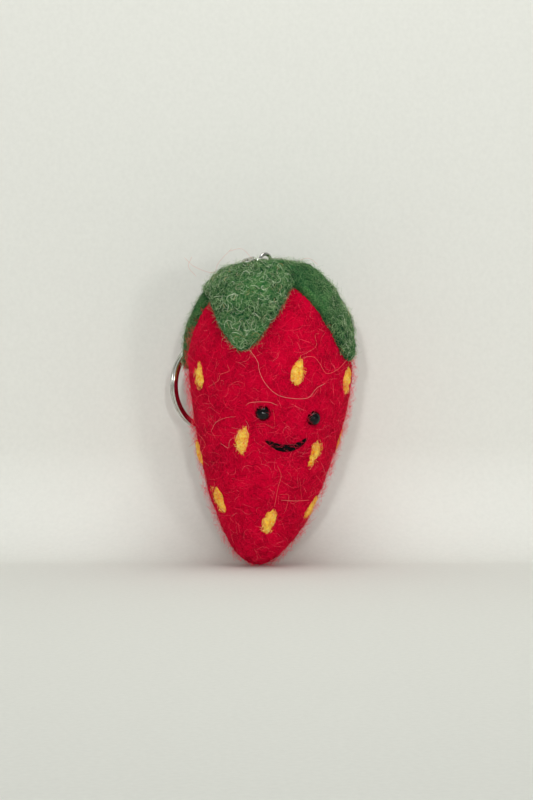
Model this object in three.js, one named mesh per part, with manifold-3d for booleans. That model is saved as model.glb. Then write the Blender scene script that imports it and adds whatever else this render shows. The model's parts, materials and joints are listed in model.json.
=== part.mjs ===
// A strawberry keychain of needle-felted wool: a wool body with a felt calyx, felt seeds, bead eyes and a
// stitched smile, hung from a screw eye, a short chain and a split ring.
// Millimetres. +Z is up, the face looks along -Y, and the origin is the lowest point of the tip.

import * as THREE from 'three';
import { mergeVertices } from 'three/addons/utils/BufferGeometryUtils.js';
import Module from 'manifold-3d';

const wasm = await Module();
wasm.setup();

// ---- driving dimensions ----

const GAP = 0.3; // clearance kept wherever two pieces meet

// Wool body
const BODY_HEIGHT = 77.6;
const BODY_WIDTH = 42.7;
const BODY_DEPTH = 40;
const WIDEST_HEIGHT = 50;
const AXIS_LEAN = 3; // sideways drift of the axis between the tip and the widest height
const LEAN_SHAPE = 1.4;
const BELLY_SHAPE = [1.9, 1.35]; // superellipse powers of the taper below the widest height
const CROWN_SHAPE = [2.3, 2.4]; // and of the dome above it
const SKIN = 2.5;
const CROWN_SLOPE = 0.2; // fall of the crown towards the chain
const DIMPLE_DEPTH = 2.8; // where the screw eye pulls the crown in
const DIMPLE_RADIUS = 10;

// Felt calyx
const CALYX_THICKNESS = 2.3;
const CALYX_SEAT = 0.5; // how far the calyx stands off the wool
const NOTCH_REACH = 18; // along the surface, from the centre of the crown to the bottom of a notch
const LOBES = [[-116, 38.3], [-34, 34.6], [50, 36.2], [137, 36.2]]; // azimuth, and reach to the tip
const LOBE_LIFT = 0.3; // how far a lobe's tip stands off the wool
const LOBE_SHAPE = [1.5, 1.5];

// Felt seeds. Each row lists the seeds' azimuths from the face, their heights and their tilts.
const SEED_LENGTH = 7.2;
const SEED_WIDTH = 3.4;
const SEED_THICKNESS = 1.1;
const SEED_SINK = 0.5;
const SEED_ROWS = {
  seed_upper: [[-75, 50, -4], [2, 51, 10], [51, 48.5, 6], [112, 51, -8], [172, 49.5, 5], [-128, 51.5, 12]],
  seed_middle: [[-102, 30, -10], [-38, 33.5, 12], [25, 30, 12], [84, 33, -6], [144, 31, 9], [-158, 33, 0]],
  seed_lower: [[-72, 18, -14], [-8, 12.5, 12], [52, 15.5, 16], [128, 13, -10], [-146, 17, 8]],
};

// Face
const EYE_BEAD_DIAMETER = 3.9;
const EYE_STEM_DIAMETER = 1.1;
const EYE_STEM_LENGTH = 4;
const EYE_SINK = 0.5; // depth of the bead's centre under the wool
const EYES = { bead_eye_left: [-22, 40.4], bead_eye_right: [18, 39] }; // azimuth and height
const MOUTH_HEIGHT = 34.2;
const MOUTH_DROP = 2.6;
const MOUTH_AZIMUTHS = [-20, 14];
const MOUTH_STITCHES = 4;
const THREAD_DIAMETER = 1;
const STITCH_DEPTH = 0.25;

// Screw eye
const EYELET_DIAMETER = 4.5;
const EYELET_WIRE = 1;
const SCREW_SETBACK = 2; // from the middle of the crown
const SCREW_AZIMUTH = 162;
const SHANK_LENGTH = 11;
const SHANK_ROOT_DIAMETER = 1.1;
const SHANK_CREST_DIAMETER = 1.6;
const THREAD_PITCH = 0.9;

// Chain
const CHAIN_AZIMUTH = -160;
const EYE_JUMP_RING = { length: 5, width: 5, wire: 0.8 };
const CHAIN_LINK = { length: 6.6, width: 3.1, wire: 0.8 };
const CHAIN_LINKS = 6;
const END_JUMP_RING = { length: 6.5, width: 6.5, wire: 1 };
const WIRE_SLIT = 0.12;
const CHAIN_CLEARANCE = 0.9; // between the chain's widest links and the felt

// Split ring, two turns of flat wire
const RING_DIAMETER = 25;
const RING_WIRE_WIDTH = 1.5;
const RING_WIRE_THICKNESS = 0.9;
const RING_TURN_GAP = 0.15;
const RING_STEP_ANGLE = 36;
const RING_CHAMFER = 0.2;

// Facets: rings up the body, then segments round it
const BODY_FACETS = [20, 32];
const LINING_FACETS = [12, 24];
const CALYX_FACETS = [5, 60];
const CROWN_RINGS = 5;

// ---- materials ----

const felt = (color) => new THREE.MeshStandardMaterial({ color, roughness: 0.95, metalness: 0 });
const metal = () => new THREE.MeshStandardMaterial({ color: 0xc9c6bf, roughness: 0.25, metalness: 1 });
const RED_WOOL = 0xc80a32;
const CORE_WOOL = 0xe9e2d2;
const GREEN_FELT = 0x46784a;
const YELLOW_WOOL = 0xf0be46;
const BLACK = 0x0a0a0c;

// ---- solids ----

const radians = THREE.MathUtils.degToRad;
const UP = new THREE.Vector3(0, 0, 1);

function toSolid(geometry) {
  const bare = geometry.clone();
  bare.deleteAttribute('normal');
  bare.deleteAttribute('uv');
  const merged = mergeVertices(bare, 1e-4);
  const corners = merged.index.array;
  const kept = [];
  for (let i = 0; i < corners.length; i += 3) {
    const [a, b, c] = corners.slice(i, i + 3);
    if (a !== b && b !== c && c !== a) {
      kept.push(a, b, c);
    }
  }
  const vertProperties = new Float32Array(merged.attributes.position.array);
  return new wasm.Manifold(new wasm.Mesh({ numProp: 3, vertProperties, triVerts: new Uint32Array(kept) }));
}

function toGeometry(solid) {
  const mesh = solid.getMesh();
  const geometry = new THREE.BufferGeometry();
  geometry.setAttribute('position', new THREE.BufferAttribute(mesh.vertProperties, 3));
  geometry.setIndex(new THREE.BufferAttribute(mesh.triVerts, 1));
  geometry.computeVertexNormals();
  return geometry;
}

function lathe(profile, segments) {
  return new THREE.LatheGeometry(profile, segments).rotateX(Math.PI / 2);
}

function tube(curve, diameter, steps, quarterSides) {
  const section = new THREE.Shape().absarc(0, 0, diameter / 2, 0, 2 * Math.PI);
  const options = { steps, curveSegments: quarterSides, extrudePath: curve, bevelEnabled: false };
  return new THREE.ExtrudeGeometry(section, options);
}

// ---- the way the chain leaves ----

const outwardAt = (azimuth) => new THREE.Vector3(0, -1, 0).applyAxisAngle(UP, radians(azimuth));
const CHAIN_OUT = outwardAt(CHAIN_AZIMUTH);
const CHAIN_SIDE = UP.clone().cross(CHAIN_OUT);
const SCREW_PLACE = outwardAt(SCREW_AZIMUTH).multiplyScalar(SCREW_SETBACK);
SCREW_PLACE.x += leanAt(BODY_HEIGHT);

// ---- the body's surface ----
// The wool is first a round solid about Z. settle() then flattens it front to back, leans its axis and
// presses in the dimple round the screw eye.

function outlinePoint(angle) {
  const [reach, rise, [across, along]] = angle > 0
    ? [BODY_HEIGHT - WIDEST_HEIGHT, 1, CROWN_SHAPE]
    : [WIDEST_HEIGHT, -1, BELLY_SHAPE];
  const radius = (BODY_WIDTH / 2) * Math.max(Math.cos(angle), 0) ** (2 / across);
  const height = WIDEST_HEIGHT + rise * reach * Math.abs(Math.sin(angle)) ** (2 / along);
  return new THREE.Vector2(radius, height);
}

function offsetPoint(angle, offset) {
  const step = 0.002;
  const limit = Math.PI / 2;
  const point = outlinePoint(angle);
  const before = outlinePoint(Math.max(angle - step, -limit));
  const along = outlinePoint(Math.min(angle + step, limit)).sub(before).normalize();
  point.x = Math.max(point.x + offset * along.y, 0);
  point.y -= offset * along.x;
  return point;
}

function leanAt(height) {
  const turn = (Math.PI / 2) * THREE.MathUtils.clamp(height / WIDEST_HEIGHT, 0, 2);
  return AXIS_LEAN * Math.sin(turn) ** LEAN_SHAPE;
}

function settlePoint(point) {
  const raised = Math.max(point.z - WIDEST_HEIGHT, 0) / (BODY_HEIGHT - WIDEST_HEIGHT);
  point.y *= BODY_DEPTH / BODY_WIDTH;
  const outward = point.dot(CHAIN_OUT);
  point.x += leanAt(point.z);
  const away = Math.hypot(point.x - SCREW_PLACE.x, point.y - SCREW_PLACE.y);
  const dimple = 1 - THREE.MathUtils.smoothstep(away, 0, DIMPLE_RADIUS);
  point.z -= raised > 0 ? CROWN_SLOPE * outward * raised ** 2 + DIMPLE_DEPTH * dimple : 0;
  return point;
}

function settle(geometry) {
  const position = geometry.attributes.position;
  const point = new THREE.Vector3();
  for (let i = 0; i < position.count; i += 1) {
    settlePoint(point.fromBufferAttribute(position, i));
    position.setXYZ(i, point.x, point.y, point.z);
  }
  return geometry;
}

// The outline from the tip to the crown, with closer rings across the dimple.
function bodySolid(offset, rings, segments) {
  const dimpleReach = SCREW_SETBACK + DIMPLE_RADIUS;
  const rim = angleAtRadius(dimpleReach);
  const angles = [];
  for (let i = 0; i < rings; i += 1) {
    angles.push(THREE.MathUtils.lerp(-Math.PI / 2, rim, i / rings));
  }
  for (let i = 0; i < CROWN_RINGS; i += 1) {
    angles.push(angleAtRadius(dimpleReach * (1 - i / CROWN_RINGS)));
  }
  angles.push(Math.PI / 2);
  const profile = angles.map((angle) => offsetPoint(angle, offset));
  profile[0].x = 0;
  profile.at(-1).x = 0;
  return toSolid(settle(lathe(profile, segments)));
}

function surfacePoint(azimuth, angle, offset) {
  const { x: radius, y: height } = offsetPoint(angle, offset);
  const turn = radians(azimuth);
  return settlePoint(new THREE.Vector3(radius * Math.sin(turn), -radius * Math.cos(turn), height));
}

function angleAtRadius(radius) {
  return Math.acos((radius / (BODY_WIDTH / 2)) ** (CROWN_SHAPE[0] / 2));
}

function angleAtHeight(height) {
  const rise = height - WIDEST_HEIGHT;
  const [reach, [, along]] = rise > 0
    ? [BODY_HEIGHT - WIDEST_HEIGHT, CROWN_SHAPE]
    : [WIDEST_HEIGHT, BELLY_SHAPE];
  return Math.sign(rise) * Math.asin((Math.abs(rise) / reach) ** (along / 2));
}

// A frame on the wool: X runs round the body, Y up it and Z out of it.
function surfaceFrame(azimuth, height, offset) {
  const angle = angleAtHeight(height);
  const origin = surfacePoint(azimuth, angle, offset);
  const round = surfacePoint(azimuth + 1, angle, offset).sub(surfacePoint(azimuth - 1, angle, offset));
  const up = surfacePoint(azimuth, angle + 0.01, offset).sub(surfacePoint(azimuth, angle - 0.01, offset));
  const x = round.normalize();
  const z = x.clone().cross(up).normalize();
  const y = z.clone().cross(x);
  return new THREE.Matrix4().makeBasis(x, y, z).setPosition(origin);
}

// ---- meshes ----

const keychain = new THREE.Group();

function addMesh(name, geometry, material, matrix = new THREE.Matrix4()) {
  const mesh = new THREE.Mesh(geometry, material);
  mesh.name = name;
  matrix.decompose(mesh.position, mesh.quaternion, mesh.scale);
  keychain.add(mesh);
}

// ---- felt calyx ----

const EDGE_ROUND = CALYX_THICKNESS / 2;
const REACH_STEPS = 400;

// Distances along the outline from the centre of the crown, paired with the outline's angles.
const reaches = [{ angle: Math.PI / 2, reach: 0 }];
for (let i = 1; i <= REACH_STEPS; i += 1) {
  const angle = (Math.PI / 2) * (1 - (1.6 * i) / REACH_STEPS);
  const last = reaches[i - 1];
  const step = outlinePoint(angle).distanceTo(outlinePoint(last.angle));
  reaches.push({ angle, reach: last.reach + step });
}

function angleAtReach(reach) {
  const i = Math.max(reaches.findIndex((entry) => entry.reach >= reach), 1);
  const [near, far] = [reaches[i - 1], reaches[i]];
  return THREE.MathUtils.mapLinear(reach, near.reach, far.reach, near.angle, far.angle);
}

// share is 1 along the middle of a lobe and falls to 0 at the notches beside it. edge is the felt's reach.
function lobeAt(azimuth) {
  const count = LOBES.length;
  const wrap = (angle) => THREE.MathUtils.euclideanModulo(angle + 180, 360) - 180;
  const lobes = LOBES.map(([lobe, reach], i) => {
    const away = wrap(azimuth - lobe);
    const [neighbour] = LOBES[(i + (away < 0 ? count - 1 : 1)) % count];
    const half = Math.abs(wrap(neighbour - lobe)) / 2;
    const share = Math.max(1 - (Math.abs(away) / half) ** LOBE_SHAPE[0], 0) ** LOBE_SHAPE[1];
    return { share, edge: THREE.MathUtils.lerp(NOTCH_REACH, reach, share) };
  });
  return lobes.reduce((longest, lobe) => (lobe.edge > longest.edge ? lobe : longest));
}

function calyxPoint(azimuth, reach, { share, edge }, side) {
  const inward = Math.min((edge - reach) / EDGE_ROUND, 1);
  const half = (CALYX_THICKNESS / 2) * Math.sqrt(1 - (1 - inward) ** 2);
  const lift = LOBE_LIFT * share * (reach / edge) ** 4;
  const offset = CALYX_SEAT + CALYX_THICKNESS / 2 + lift + side * half;
  return surfacePoint(azimuth, angleAtReach(reach), offset);
}

// The calyx is laid out in closed rows round the crown: out over its top, round its edge and back beneath.
function calyxSolid(rings, segments) {
  const stations = [];
  const dimpleReach = SCREW_SETBACK + DIMPLE_RADIUS;
  for (let i = 1; i <= CROWN_RINGS; i += 1) {
    stations.push(() => (dimpleReach * i) / CROWN_RINGS);
  }
  for (let i = 1; i <= rings; i += 1) {
    stations.push((edge) => THREE.MathUtils.lerp(dimpleReach, edge - EDGE_ROUND, i / rings));
  }
  stations.push((edge) => edge - 0.4 * EDGE_ROUND);
  const points = [];
  const addPoint = (point) => points.push(point) - 1;
  const row = (reachAt, side) => Array.from({ length: segments }, (_, i) => {
    const azimuth = (360 * i) / segments;
    const lobe = lobeAt(azimuth);
    return addPoint(calyxPoint(azimuth, reachAt(lobe.edge), lobe, side));
  });
  const top = addPoint(calyxPoint(0, 0, lobeAt(0), 1));
  const under = addPoint(calyxPoint(0, 0, lobeAt(0), -1));
  const rows = stations.map((station) => row(station, 1));
  rows.push(row((edge) => edge, 0));
  rows.push(...stations.reverse().map((station) => row(station, -1)));
  const faces = [];
  for (let i = 0; i < segments; i += 1) {
    const next = (i + 1) % segments;
    faces.push(top, rows[0][i], rows[0][next]);
    rows.slice(1).forEach((lower, k) => {
      const upper = rows[k];
      faces.push(upper[i], lower[i], lower[next], upper[i], lower[next], upper[next]);
    });
    faces.push(under, rows.at(-1)[next], rows.at(-1)[i]);
  }
  const geometry = new THREE.BufferGeometry().setFromPoints(points);
  geometry.setIndex(faces);
  return toSolid(geometry);
}

// ---- screw eye ----

const CALYX_TOP = surfacePoint(SCREW_AZIMUTH, angleAtRadius(SCREW_SETBACK), CALYX_SEAT + CALYX_THICKNESS).z;
const EYELET_BOTTOM = CALYX_TOP + GAP;
const EYELET_CENTRE = EYELET_BOTTOM + EYELET_DIAMETER / 2;
const EYELET_BEND = (EYELET_DIAMETER - EYELET_WIRE) / 2;
const SHANK_BOTTOM = EYELET_BOTTOM - SHANK_LENGTH;

// An oval or round loop of wire in the XY plane, bent shut to a hairline slit in one side.
class WireLoop extends THREE.Curve {
  constructor({ length, width, wire }) {
    super();
    const bend = (width - wire) / 2;
    const half = (length - width) / 2;
    this.route = new THREE.Path().moveTo(0, bend);
    this.route.lineTo(-half, bend);
    this.route.absarc(-half, 0, bend, Math.PI / 2, 1.5 * Math.PI);
    this.route.lineTo(half, -bend);
    this.route.absarc(half, 0, bend, -Math.PI / 2, Math.PI / 2);
    this.route.lineTo(0, bend);
    this.trim = WIRE_SLIT / 2 / this.route.getLength();
  }

  getPoint(t) {
    const { x, y } = this.route.getPointAt(THREE.MathUtils.lerp(this.trim, 1 - this.trim, t));
    return new THREE.Vector3(x, y, 0);
  }
}

function screwEyeSolid() {
  const size = { length: EYELET_DIAMETER, width: EYELET_DIAMETER, wire: EYELET_WIRE };
  const slitTurn = radians(155);
  const loop = tube(new WireLoop(size), EYELET_WIRE, 20, 3).rotateZ(slitTurn);
  const facing = new THREE.Matrix4().makeBasis(CHAIN_SIDE, UP, CHAIN_OUT);
  loop.applyMatrix4(facing.setPosition(0, 0, EYELET_CENTRE));
  const root = SHANK_ROOT_DIAMETER / 2;
  const crest = SHANK_CREST_DIAMETER / 2;
  const tip = new THREE.Vector2(0, SHANK_BOTTOM);
  const profile = [tip, new THREE.Vector2(root / 2, SHANK_BOTTOM + THREAD_PITCH)];
  const threads = Math.floor((SHANK_LENGTH - SKIN) / THREAD_PITCH) - 1;
  for (let i = 1; i <= threads; i += 1) {
    const foot = SHANK_BOTTOM + (i + 0.2) * THREAD_PITCH;
    profile.push(new THREE.Vector2(root, foot), new THREE.Vector2(crest, foot + THREAD_PITCH / 2));
  }
  const neck = EYELET_WIRE / 2;
  const shoulder = SHANK_BOTTOM + (threads + 1.4) * THREAD_PITCH;
  profile.push(new THREE.Vector2(neck, shoulder), new THREE.Vector2(neck, EYELET_BOTTOM + neck));
  profile.push(new THREE.Vector2(0, EYELET_BOTTOM + neck));
  return toSolid(loop).add(toSolid(lathe(profile, 12))).translate(SCREW_PLACE.toArray());
}

function shankChannel() {
  const radius = SHANK_CREST_DIAMETER / 2 + GAP;
  const height = BODY_HEIGHT + CALYX_SEAT + CALYX_THICKNESS - SHANK_BOTTOM;
  const channel = new THREE.CylinderGeometry(radius, radius, height, 16).rotateX(Math.PI / 2);
  channel.translate(SCREW_PLACE.x, SCREW_PLACE.y, SHANK_BOTTOM - GAP + height / 2);
  return toSolid(channel);
}

// ---- seeds, eyes and mouth: each with the pocket that its clearance leaves in the wool ----

function seedSolid([azimuth, height, tilt], grow) {
  const seed = new THREE.SphereGeometry(1, 8, 6);
  seed.scale(SEED_WIDTH / 2 + grow, SEED_LENGTH / 2 + grow, SEED_THICKNESS / 2 + grow);
  seed.rotateZ(-radians(tilt));
  return toSolid(seed.applyMatrix4(surfaceFrame(azimuth, height, SEED_THICKNESS / 2 - SEED_SINK)));
}

function eyeSolid([azimuth, height], grow) {
  const bead = EYE_BEAD_DIAMETER / 2 + grow;
  const stem = EYE_STEM_DIAMETER / 2 + grow;
  const foot = -EYE_BEAD_DIAMETER / 2 - EYE_STEM_LENGTH - grow;
  const start = Math.asin(stem / bead);
  const profile = [new THREE.Vector2(0, foot), new THREE.Vector2(stem, foot)];
  const steps = 7;
  for (let i = 0; i < steps; i += 1) {
    const angle = THREE.MathUtils.lerp(start, Math.PI, i / steps);
    profile.push(new THREE.Vector2(bead * Math.sin(angle), -bead * Math.cos(angle)));
  }
  profile.push(new THREE.Vector2(0, bead));
  return toSolid(lathe(profile, 12).applyMatrix4(surfaceFrame(azimuth, height, -EYE_SINK)));
}

function mouthPath() {
  const points = [];
  const steps = MOUTH_STITCHES * 6;
  for (let i = 0; i <= steps; i += 1) {
    const share = i / steps;
    const azimuth = THREE.MathUtils.lerp(...MOUTH_AZIMUTHS, share);
    const height = MOUTH_HEIGHT - MOUTH_DROP * (1 - (2 * share - 1) ** 2);
    const rise = Math.sin(MOUTH_STITCHES * Math.PI * share) ** 2;
    const offset = THREE.MathUtils.lerp(-STITCH_DEPTH, THREAD_DIAMETER / 3, rise);
    points.push(surfacePoint(azimuth, angleAtHeight(height), offset));
  }
  return new THREE.CatmullRomCurve3(points);
}

function mouthSolid(grow) {
  return toSolid(tube(mouthPath(), THREAD_DIAMETER + 2 * grow, MOUTH_STITCHES * 7, 3));
}

function mouthPocket() {
  const path = mouthPath();
  const ends = [path.getPoint(0), path.getPoint(1)].map((end) => {
    const ball = new THREE.SphereGeometry(THREAD_DIAMETER / 2 + GAP, 8, 6);
    return toSolid(ball.translate(end.x, end.y, end.z));
  });
  return ends.reduce((pocket, end) => pocket.add(end), mouthSolid(GAP));
}

// ---- chain and split ring ----

// The route of the chain's pivots in the upright plane beside the screw eye: distance out from it, then
// height. It keeps clear of the felt over the crown, then hangs straight down past the widest part.
function chainRoute() {
  const standoff = CALYX_SEAT + CALYX_THICKNESS + CHAIN_CLEARANCE + CHAIN_LINK.width / 2;
  const steps = 80;
  const route = [];
  for (let i = 0; i <= steps; i += 1) {
    const point = surfacePoint(CHAIN_AZIMUTH, (Math.PI / 2) * (1 - i / steps), standoff).sub(SCREW_PLACE);
    route.push(new THREE.Vector2(point.dot(CHAIN_OUT), point.z));
  }
  const lowest = route.at(-1);
  route.push(new THREE.Vector2(lowest.x, lowest.y - CHAIN_LINKS * CHAIN_LINK.length));
  return route;
}

function nextPivot(route, from, pitch) {
  const after = route.findLastIndex((point) => point.distanceTo(from) < pitch);
  const [near, far] = [route[Math.max(after, 0)], route[Math.max(after, 0) + 1]];
  let [low, high] = [0, 1];
  for (let i = 0; i < 40; i += 1) {
    const middle = (low + high) / 2;
    const inside = near.clone().lerp(far, middle).distanceTo(from) < pitch;
    [low, high] = inside ? [middle, high] : [low, middle];
  }
  return near.clone().lerp(far, low);
}

// Each piece of the chain is made with its pivot at the origin, hanging along +X, in its own XY plane, so
// that it turns about Z. The pivot is the middle of the wire that it hangs on: a piece that lies flat bears
// on the bend of the standing one above where that bend faces its own way.
function hangFrom(pivot, direction, standing) {
  const x = CHAIN_OUT.clone().multiplyScalar(direction.x).setZ(direction.y);
  const z = standing ? CHAIN_SIDE.clone() : x.clone().cross(CHAIN_SIDE);
  const place = CHAIN_OUT.clone().multiplyScalar(pivot.x).setZ(pivot.y).add(SCREW_PLACE);
  place.addScaledVector(CHAIN_SIDE, EYELET_BEND);
  return new THREE.Matrix4().makeBasis(x, z.clone().cross(x), z).setPosition(place);
}

class SplitRingWire extends THREE.Curve {
  getPoint(t) {
    const start = radians(RING_STEP_ANGLE / 2 + 2);
    const angle = THREE.MathUtils.lerp(start, 4 * Math.PI - start, t);
    const radius = (RING_DIAMETER - RING_WIRE_WIDTH) / 2;
    const stepHalf = radians(RING_STEP_ANGLE / 2);
    const climb = THREE.MathUtils.smoothstep(angle, 2 * Math.PI - stepHalf, 2 * Math.PI + stepHalf);
    const level = (climb - 0.5) * (RING_WIRE_THICKNESS + RING_TURN_GAP);
    return new THREE.Vector3(radius * Math.cos(angle), radius * Math.sin(angle), level);
  }

  // Keeps the wire's flat sides square to the ring's axis all the way round.
  computeFrenetFrames(steps) {
    const frames = { tangents: [], normals: [], binormals: [] };
    for (let i = 0; i <= steps; i += 1) {
      const tangent = this.getTangentAt(i / steps);
      const binormal = tangent.clone().cross(UP).normalize();
      frames.tangents.push(tangent);
      frames.normals.push(binormal.clone().cross(tangent));
      frames.binormals.push(binormal);
    }
    return frames;
  }
}

function splitRing() {
  const [x, y, c] = [RING_WIRE_THICKNESS / 2, RING_WIRE_WIDTH / 2, RING_CHAMFER];
  const upper = [[x, c - y], [x, y - c], [x - c, y], [c - x, y]];
  const corners = [...upper, ...upper.map(([u, v]) => [-u, -v])];
  const section = new THREE.Shape(corners.map(([across, out]) => new THREE.Vector2(across, out)));
  const options = { steps: 72, extrudePath: new SplitRingWire(), bevelEnabled: false };
  return new THREE.ExtrudeGeometry(section, options);
}

function addChain() {
  const route = chainRoute();
  const members = [{ name: 'eye_jump_ring', size: EYE_JUMP_RING }];
  for (let i = 1; i <= CHAIN_LINKS; i += 1) {
    members.push({ name: `chain_link_${i}`, size: CHAIN_LINK });
  }
  members.push({ name: 'end_jump_ring', size: END_JUMP_RING });
  let pivot = new THREE.Vector2(0, EYELET_CENTRE);
  let held = EYELET_WIRE;
  let bend = 0; // radius, at the pivot, of a standing parent's end
  let heading = new THREE.Vector2(1, 0);
  members.forEach(({ name, size }, i) => {
    const standing = i % 2 === 1;
    const hook = (held + size.wire) / 2 + GAP;
    const bendCentre = pivot.clone().addScaledVector(heading, -bend);
    const next = nextPivot(route, bendCentre, bend + size.length - size.wire - hook);
    heading = next.clone().sub(bendCentre).normalize();
    pivot = bendCentre.addScaledVector(heading, bend);
    const loop = tube(new WireLoop(size), size.wire, 24, 3);
    loop.translate((size.length - size.wire) / 2 - hook, 0, 0);
    addMesh(name, loop, metal(), hangFrom(pivot, heading, standing));
    pivot = next;
    held = size.wire;
    bend = standing ? (size.width - size.wire) / 2 : 0;
  });
  const halfTurns = RING_WIRE_THICKNESS + RING_TURN_GAP / 2;
  const innerBend = bend - held / 2;
  const arch = innerBend - Math.sqrt(innerBend ** 2 - halfTurns ** 2);
  const hook = (held + RING_WIRE_WIDTH) / 2 + GAP + arch;
  const down = new THREE.Vector2(0, -1);
  pivot.addScaledVector(heading, -bend).addScaledVector(down, bend);
  const ring = splitRing().translate((RING_DIAMETER - RING_WIRE_WIDTH) / 2 - hook, 0, 0);
  addMesh('split_ring', ring, metal(), hangFrom(pivot, down, false));
}

// ---- assembly ----

const channel = shankChannel();
const eyePockets = Object.values(EYES).map((place) => eyeSolid(place, GAP));
const seeds = Object.entries(SEED_ROWS).flatMap(([name, row]) => row.map((place, i) => ({
  name: `${name}_${i + 1}`,
  solid: seedSolid(place, 0),
  pocket: seedSolid(place, GAP),
})));

const shell = bodySolid(0, ...BODY_FACETS).subtract(bodySolid(-SKIN, ...LINING_FACETS));
const pockets = [channel, mouthPocket(), ...eyePockets, ...seeds.map((seed) => seed.pocket)];
const skin = pockets.reduce((solid, pocket) => solid.subtract(pocket), shell);
const filling = bodySolid(-SKIN - GAP, ...LINING_FACETS);
const core = [channel, ...eyePockets].reduce((solid, pocket) => solid.subtract(pocket), filling);
const calyx = calyxSolid(...CALYX_FACETS).subtract(channel);

addMesh('wool_core', toGeometry(core), felt(CORE_WOOL));
addMesh('red_wool_skin', toGeometry(skin), felt(RED_WOOL));
addMesh('felt_calyx', toGeometry(calyx), felt(GREEN_FELT));
seeds.forEach(({ name, solid }) => addMesh(name, toGeometry(solid), felt(YELLOW_WOOL)));
Object.entries(EYES).forEach(([name, place]) => {
  const gloss = new THREE.MeshStandardMaterial({ color: BLACK, roughness: 0.08, metalness: 0 });
  addMesh(name, toGeometry(eyeSolid(place, 0)), gloss);
});
const cotton = new THREE.MeshStandardMaterial({ color: BLACK, roughness: 0.8, metalness: 0 });
addMesh('mouth_thread', toGeometry(mouthSolid(0)), cotton);
addMesh('screw_eye', toGeometry(screwEyeSolid()), metal());
addChain();

export default keychain;
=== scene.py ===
"""Looks of the needle-felted strawberry keychain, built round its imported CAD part. Lengths are in mm."""

import json
import math

import bpy
import numpy as np
from mathutils import Matrix, Vector, noise


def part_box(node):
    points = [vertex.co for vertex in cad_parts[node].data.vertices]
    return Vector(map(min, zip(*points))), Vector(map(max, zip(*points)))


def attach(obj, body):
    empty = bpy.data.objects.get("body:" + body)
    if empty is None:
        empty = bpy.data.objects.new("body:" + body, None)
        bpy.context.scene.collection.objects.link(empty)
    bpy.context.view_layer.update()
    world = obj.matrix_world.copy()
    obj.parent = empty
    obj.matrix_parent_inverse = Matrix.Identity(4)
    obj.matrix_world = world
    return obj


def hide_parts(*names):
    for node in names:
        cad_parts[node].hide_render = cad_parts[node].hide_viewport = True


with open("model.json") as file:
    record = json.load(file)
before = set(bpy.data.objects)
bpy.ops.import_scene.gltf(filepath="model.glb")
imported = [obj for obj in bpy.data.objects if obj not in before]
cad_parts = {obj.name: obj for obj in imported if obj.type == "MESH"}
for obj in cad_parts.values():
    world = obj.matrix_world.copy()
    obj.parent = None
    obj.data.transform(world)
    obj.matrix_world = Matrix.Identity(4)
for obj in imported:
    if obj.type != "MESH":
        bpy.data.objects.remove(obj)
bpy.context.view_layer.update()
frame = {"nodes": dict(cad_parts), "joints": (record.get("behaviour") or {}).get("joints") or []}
nodes = frame["nodes"]
MM = 0.001

# ---- sizes shared with the CAD part ----

BODY_HEIGHT, BODY_WIDTH, BODY_DEPTH = 77.6, 42.7, 40.0
WIDEST_HEIGHT = 50.0
AXIS_LEAN, LEAN_SHAPE = 3.0, 1.4
BELLY_SHAPE, CROWN_SHAPE = (1.9, 1.35), (2.3, 2.4)
CROWN_SLOPE, DIMPLE_DEPTH, DIMPLE_RADIUS = 0.2, 2.8, 10.0
SCREW_SETBACK, SCREW_AZIMUTH, CHAIN_AZIMUTH = 2.0, 162.0, -160.0
CAMERA_AZIMUTH, CAMERA_ELEVATION = -18.0, math.radians(2)
MOUTH_HEIGHT, MOUTH_DROP, MOUTH_AZIMUTHS = 34.2, 2.6, (-20.0, 14.0)


def outward_at(azimuth):
    """Level direction at an azimuth in degrees from the front, positive to the right."""
    turn = math.radians(azimuth)
    return np.array([math.sin(turn), -math.cos(turn), 0.0])


def lean_at(height):
    """How far the body's axis has moved to the right at a height."""
    turn = math.pi / 2 * np.clip(height / WIDEST_HEIGHT, 0, 2)
    return AXIS_LEAN * np.abs(np.sin(turn)) ** LEAN_SHAPE


SCREW_PLACE = outward_at(SCREW_AZIMUTH) * SCREW_SETBACK + np.array([lean_at(BODY_HEIGHT), 0, 0])


# ---- the wool's surface ----


def outline(angle):
    """Radius and height of the body's outline, from the tip at -pi/2 to the crown at pi/2."""
    up = angle > 0
    reach = np.where(up, BODY_HEIGHT - WIDEST_HEIGHT, WIDEST_HEIGHT)
    across = np.where(up, CROWN_SHAPE[0], BELLY_SHAPE[0])
    along = np.where(up, CROWN_SHAPE[1], BELLY_SHAPE[1])
    radius = BODY_WIDTH / 2 * np.maximum(np.cos(angle), 0) ** (2 / across)
    height = WIDEST_HEIGHT + np.sign(angle) * reach * np.abs(np.sin(angle)) ** (2 / along)
    return radius, height


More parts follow.
